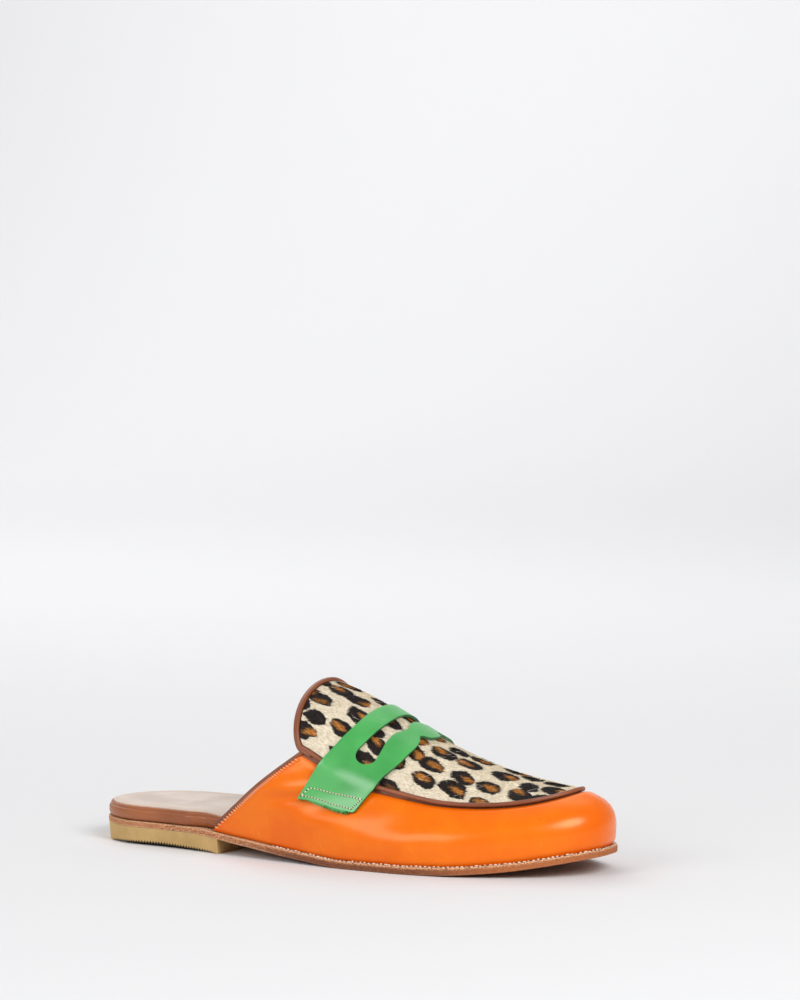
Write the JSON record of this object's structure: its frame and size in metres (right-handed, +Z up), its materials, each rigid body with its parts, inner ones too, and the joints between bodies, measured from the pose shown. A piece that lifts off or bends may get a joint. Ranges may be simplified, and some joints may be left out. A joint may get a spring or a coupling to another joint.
{
  "type": "mule",
  "caption": "Backless slip-on mule for the right foot: closed round toe, raised apron with tongue, slotted saddle strap, leather sole and low block heel.",
  "frame": {"origin": "on the floor, under the middle of the shoe's box", "axes": "+X to the toe, +Y to the medial side (the big toe's side), +Z up"},
  "size_m": [0.256, 0.0892, 0.0791],
  "materials": {
    "sole_leather": "matte cut edge",
    "heel_block": "matte",
    "brown_wrap": "satin",
    "sock_leather": "matte",
    "orange_leather": "smooth satin",
    "spotted_hide": "short hair, dark spots",
    "brown_trim": "satin",
    "green_leather": "semi-gloss"
  },
  "bodies": {
    "root": {"outsole": "sole_leather", "heel": "heel_block", "footbed": "brown_wrap", "sock": "sock_leather", "upper": "orange_leather", "apron": "spotted_hide", "piping": "brown_trim", "topline_binding_lateral": "brown_trim", "topline_binding_medial": "brown_trim", "strap": "green_leather"}
  },
  "joints": []
}
